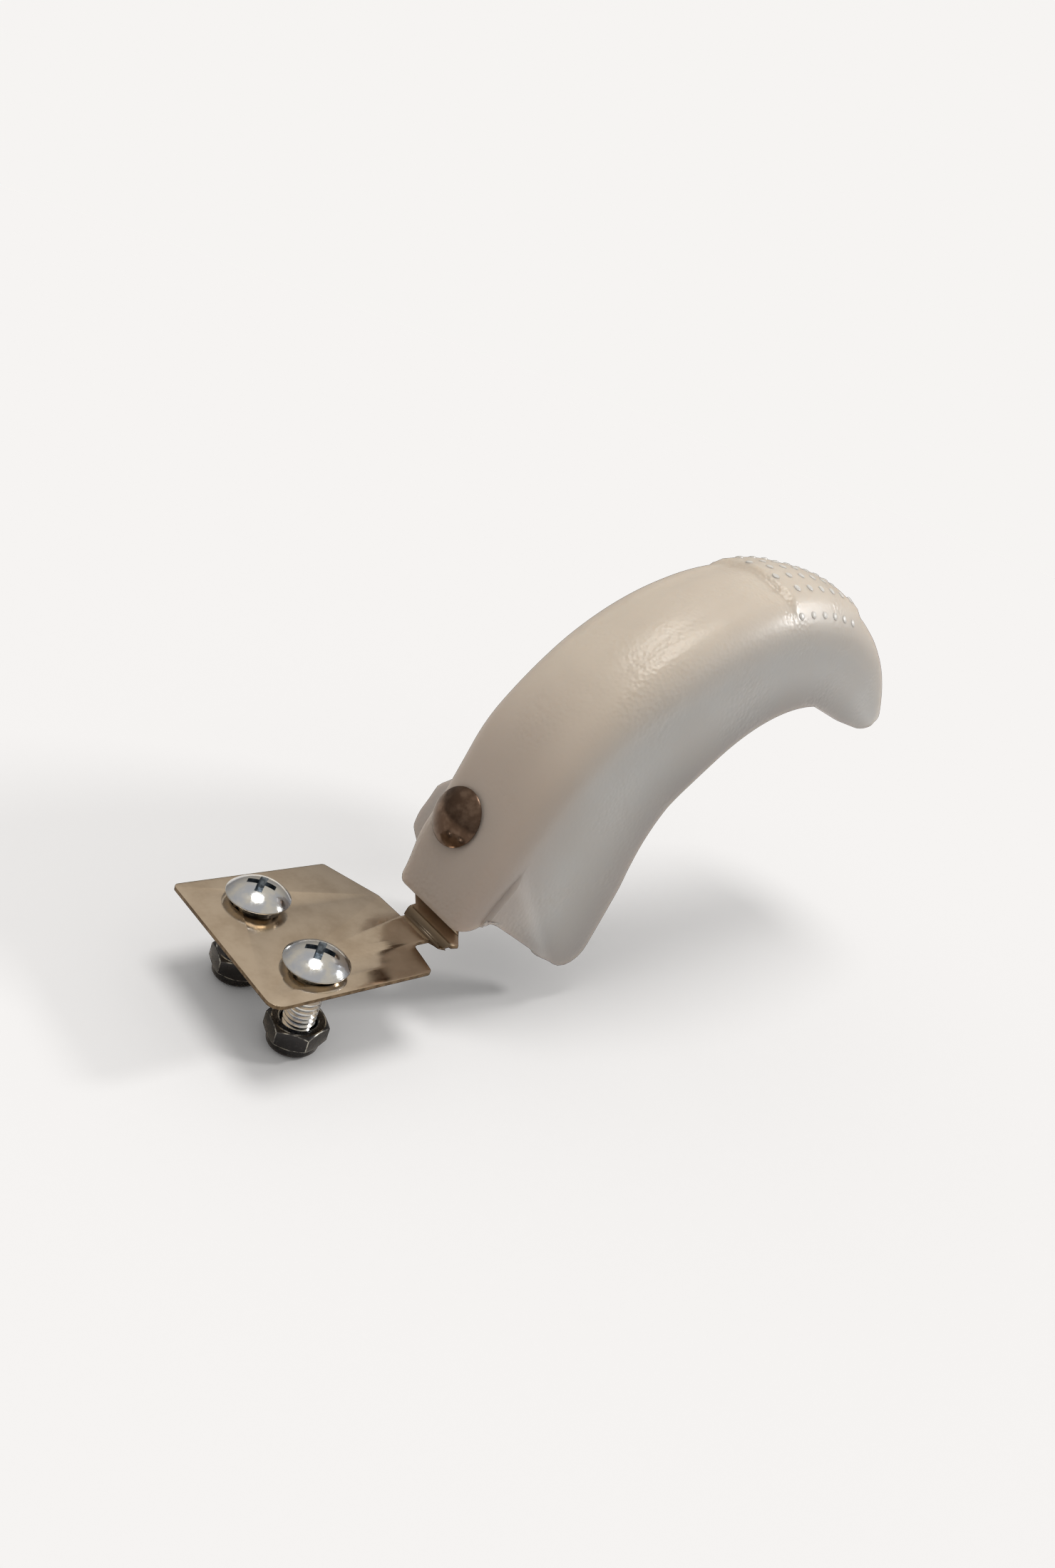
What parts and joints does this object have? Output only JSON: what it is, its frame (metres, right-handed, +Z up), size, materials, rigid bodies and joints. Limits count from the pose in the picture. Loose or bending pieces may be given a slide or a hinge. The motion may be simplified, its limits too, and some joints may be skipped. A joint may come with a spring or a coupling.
{
  "type": "scooter rear fender brake",
  "caption": "Foot-operated rear fender brake of a small kick scooter: translucent moulded fender riveted to a spring steel bracket with screws and lock nuts.",
  "frame": {"origin": "middle of the mounting plate's underside, half way between the two screw holes", "axes": "+X runs back from the plate towards the wheel, +Y to the left, +Z up out of the plate"},
  "size_m": [0.1613, 0.0366, 0.0952],
  "materials": {
    "spring_steel": "rolled and polished, with a warm temper tint",
    "fender_plastic": "milky translucent polypropylene with a fine moulded grain",
    "rivet_steel": "dark bronzed, domed and polished by handling",
    "zinc": "bright zinc plated",
    "black_zinc": "black zinc plated",
    "nylon": "plain moulded nylon"
  },
  "bodies": {
    "mount": {"mounting_plate": "spring_steel", "screw_left": "zinc", "screw_right": "zinc", "lock_nut_left": "black_zinc", "lock_nut_right": "black_zinc", "nylon_ring_left": "nylon", "nylon_ring_right": "nylon"},
    "brake": {"spring_leaf": "spring_steel", "fender": "fender_plastic", "rivet": "rivet_steel", "rivet_washer": "zinc"}
  },
  "joints": [
    {"name": "brake_press", "type": "hinge", "parent": "mount", "child": "brake", "pos_m": [0.02645, 0, 0.00035], "axis": [0, 1, 0], "range_deg": [-3, 10], "stiffness_Nm_per_rad": 12}
  ]
}
